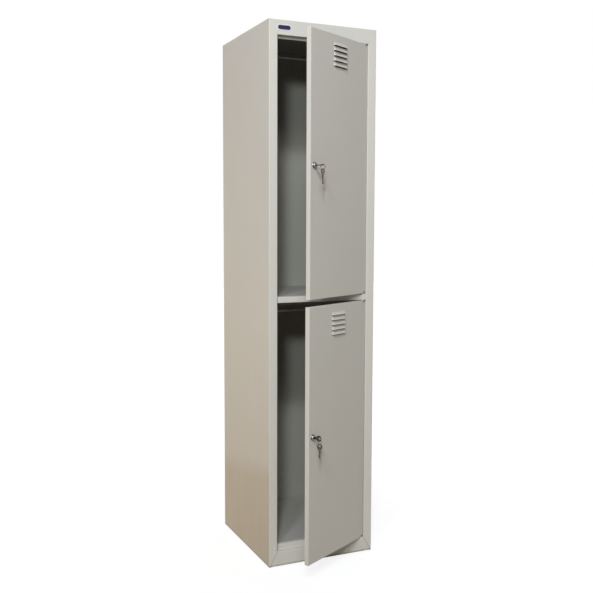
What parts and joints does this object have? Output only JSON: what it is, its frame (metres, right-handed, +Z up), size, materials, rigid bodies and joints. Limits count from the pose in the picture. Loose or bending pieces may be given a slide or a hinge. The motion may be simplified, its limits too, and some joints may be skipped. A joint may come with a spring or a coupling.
{
  "type": "two-tier clothes locker",
  "caption": "Tall narrow sheet-steel locker with stacked louvred doors on pivot pins, hanging rails inside and keyed cam locks, both doors standing ajar.",
  "frame": {"origin": "middle of the base on the floor, halfway through the depth that the ajar doors and keys take up", "axes": "+Z up, +X to the right seen from the front, -Y out of the front, +Y to the back"},
  "size_m": [0.39, 0.6312, 1.803],
  "materials": {
    "carcass_paint": "light warm grey powder coat, fine satin texture",
    "door_paint": "light warm grey powder coat, fine satin texture",
    "bright_chrome": "polished",
    "zinc_plate": "zinc plated, semi-bright",
    "key_nickel": "nickel plated, lightly worn",
    "white_nylon": "natural nylon",
    "black_rubber": "matt"
  },
  "bodies": {
    "carcass": {"left_side_panel": "carcass_paint", "right_side_panel": "carcass_paint", "back_panel": "carcass_paint", "roof_panel": "carcass_paint", "mid_shelf": "carcass_paint", "floor_panel": "carcass_paint", "bottom_rail": "carcass_paint", "glide_front_left": "black_rubber", "glide_front_right": "black_rubber", "glide_rear_left": "black_rubber", "glide_rear_right": "black_rubber", "upper_hanging_rail": "zinc_plate", "upper_rail_socket_left": "zinc_plate", "upper_rail_socket_right": "zinc_plate", "lower_hanging_rail": "zinc_plate", "lower_rail_socket_left": "zinc_plate", "lower_rail_socket_right": "zinc_plate", "upper_door_top_bush": "white_nylon", "upper_door_bottom_bush": "white_nylon", "lower_door_top_bush": "white_nylon", "lower_door_bottom_bush": "white_nylon", "upper_buffer_bottom": "black_rubber", "upper_buffer_top": "black_rubber", "lower_buffer_bottom": "black_rubber", "lower_buffer_top": "black_rubber"},
    "upper_door": {"upper_door_panel": "door_paint", "upper_door_stiffener": "door_paint", "upper_door_top_pin": "zinc_plate", "upper_door_bottom_pin": "zinc_plate", "upper_lock_barrel": "bright_chrome", "upper_lock_nut": "zinc_plate"},
    "upper_plug": {"upper_lock_plug": "bright_chrome", "upper_lock_cam": "zinc_plate", "upper_cam_screw": "zinc_plate"},
    "upper_key": {"upper_key": "key_nickel"},
    "upper_ring": {"upper_key_ring": "zinc_plate"},
    "upper_spare": {"upper_spare_key": "key_nickel"},
    "lower_door": {"lower_door_panel": "door_paint", "lower_door_stiffener": "door_paint", "lower_door_top_pin": "zinc_plate", "lower_door_bottom_pin": "zinc_plate", "lower_lock_barrel": "bright_chrome", "lower_lock_nut": "zinc_plate"},
    "lower_plug": {"lower_lock_plug": "bright_chrome", "lower_lock_cam": "zinc_plate", "lower_cam_screw": "zinc_plate"},
    "lower_key": {"lower_key": "key_nickel"},
    "lower_ring": {"lower_key_ring": "zinc_plate"},
    "lower_spare": {"lower_spare_key": "key_nickel"}
  },
  "joints": [
    {"name": "upper_door_hinge", "type": "hinge", "parent": "carcass", "child": "upper_door", "pos_m": [0.154, -0.12836, 0.916], "axis": [0, 0, 1], "range_deg": [-29.2, 90.8]},
    {"name": "upper_lock_turn", "type": "hinge", "parent": "upper_door", "child": "upper_plug", "pos_m": [-0.10233, -0.27849, 1.3345], "axis": [0.4879, -0.8729, 0], "range_deg": [-90, 90]},
    {"name": "upper_key_pull", "type": "slide", "parent": "upper_plug", "child": "upper_key", "axis": [0.4879, -0.8729, 0], "range_m": [0, 0.025]},
    {"name": "upper_ring_swing", "type": "hinge", "parent": "upper_key", "child": "upper_ring", "pos_m": [-0.08615, -0.30744, 1.3345], "axis": [-0.8729, -0.4879, 0], "range_deg": [-5, 75]},
    {"name": "upper_spare_swing", "type": "hinge", "parent": "upper_ring", "child": "upper_spare", "pos_m": [-0.08615, -0.30744, 1.32032], "axis": [0.4879, -0.8729, 0], "range_deg": [-45, 45]},
    {"name": "lower_door_hinge", "type": "hinge", "parent": "carcass", "child": "lower_door", "pos_m": [0.154, -0.12836, 0.055], "axis": [0, 0, 1], "range_deg": [-28.9, 91.1]},
    {"name": "lower_lock_turn", "type": "hinge", "parent": "lower_door", "child": "lower_plug", "pos_m": [-0.10311, -0.27715, 0.4735], "axis": [0.4833, -0.8755, 0], "range_deg": [-180, 0]},
    {"name": "lower_key_pull", "type": "slide", "parent": "lower_plug", "child": "lower_key", "axis": [0.4833, -0.8755, 0], "range_m": [0, 0.025]},
    {"name": "lower_ring_swing", "type": "hinge", "parent": "lower_key", "child": "lower_ring", "pos_m": [-0.08955, -0.30172, 0.4707], "axis": [-0.8755, -0.4833, 0], "range_deg": [-10, 75]},
    {"name": "lower_spare_swing", "type": "hinge", "parent": "lower_ring", "child": "lower_spare", "pos_m": [-0.08955, -0.30172, 0.4539], "axis": [-0.8755, -0.4833, 0], "range_deg": [-20, 45]}
  ]
}
